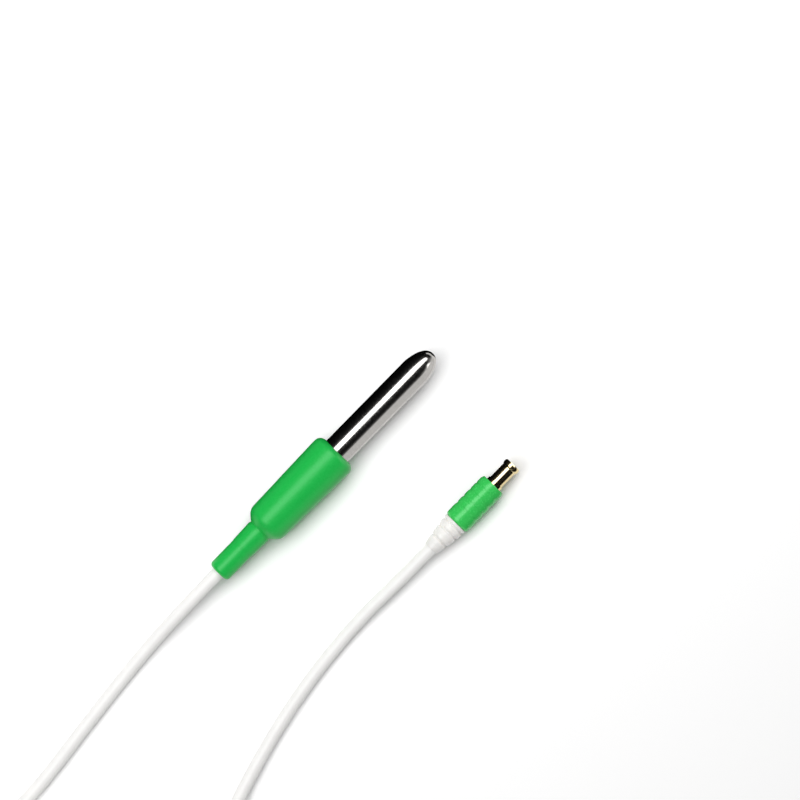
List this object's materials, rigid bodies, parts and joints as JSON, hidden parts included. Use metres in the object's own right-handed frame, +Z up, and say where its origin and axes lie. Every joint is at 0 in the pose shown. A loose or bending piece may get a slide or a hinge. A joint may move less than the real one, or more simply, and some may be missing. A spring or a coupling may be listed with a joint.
{
  "type": "temperature probe",
  "caption": "Wired temperature probe: round-tipped steel sheath, green moulded handle, white screened lead put up in a coil, and a gold plated push-on plug with a ribbed green grip.",
  "frame": {"origin": "on the table, below the middle of the probe (sheath and handle); the lead, its coil and the plug are left out", "axes": "+X along the probe towards the sheath's tip, +Z up from the table, the plug lies on the -Y side"},
  "size_m": [0.1575, 0.0495, 0.0104],
  "materials": {
    "polished_steel": "mirror polished stainless steel tube",
    "green_moulding": "satin, moulded thermoplastic elastomer",
    "white_jacket": "satin white extruded PVC",
    "gold_plating": "gold plated turned brass",
    "white_boot": "translucent soft moulded plastic",
    "tinned_braid": "tinned copper wire braid",
    "dielectric": "natural polyethylene",
    "bare_copper": "bare copper wire",
    "nickel_plating": "nickel plated brass tube",
    "nickel_wire": "drawn nickel wire",
    "black_shrink": "heat shrunk polyolefin tube",
    "white_fluoropolymer": "machined and extruded fluoropolymer",
    "bead_glass": "fused glass bead",
    "epoxy": "cast thermally conductive epoxy",
    "amber_liner": "amber polyimide tube",
    "natural_nylon": "turned natural nylon",
    "grey_strap": "matt elastic strap"
  },
  "bodies": {
    "root": {"sheath": "polished_steel", "handle": "green_moulding", "plug_grip": "green_moulding", "lead_probe_side": "white_jacket", "lead_coil": "white_jacket", "lead_plug_side": "white_jacket", "handle_cable_jacket": "white_jacket", "plug_cable_jacket": "white_jacket", "outer_contact": "gold_plating", "centre_pin": "gold_plating", "plug_boot": "white_boot", "handle_cable_braid": "tinned_braid", "plug_cable_braid": "tinned_braid", "handle_cable_dielectric": "dielectric", "plug_cable_dielectric": "dielectric", "handle_cable_core": "bare_copper", "plug_cable_core": "bare_copper", "anchor_ferrule": "nickel_plating", "crimp_ferrule": "nickel_plating", "splice_crimps": "nickel_plating", "thermistor_leads": "nickel_wire", "splice_sleeves": "black_shrink", "contact_insulator": "white_fluoropolymer", "lead_sleeves": "white_fluoropolymer", "thermistor_bead": "bead_glass", "tip_potting": "epoxy", "sheath_liner": "amber_liner", "end_bush": "natural_nylon", "coil_tie": "grey_strap"}
  },
  "joints": []
}
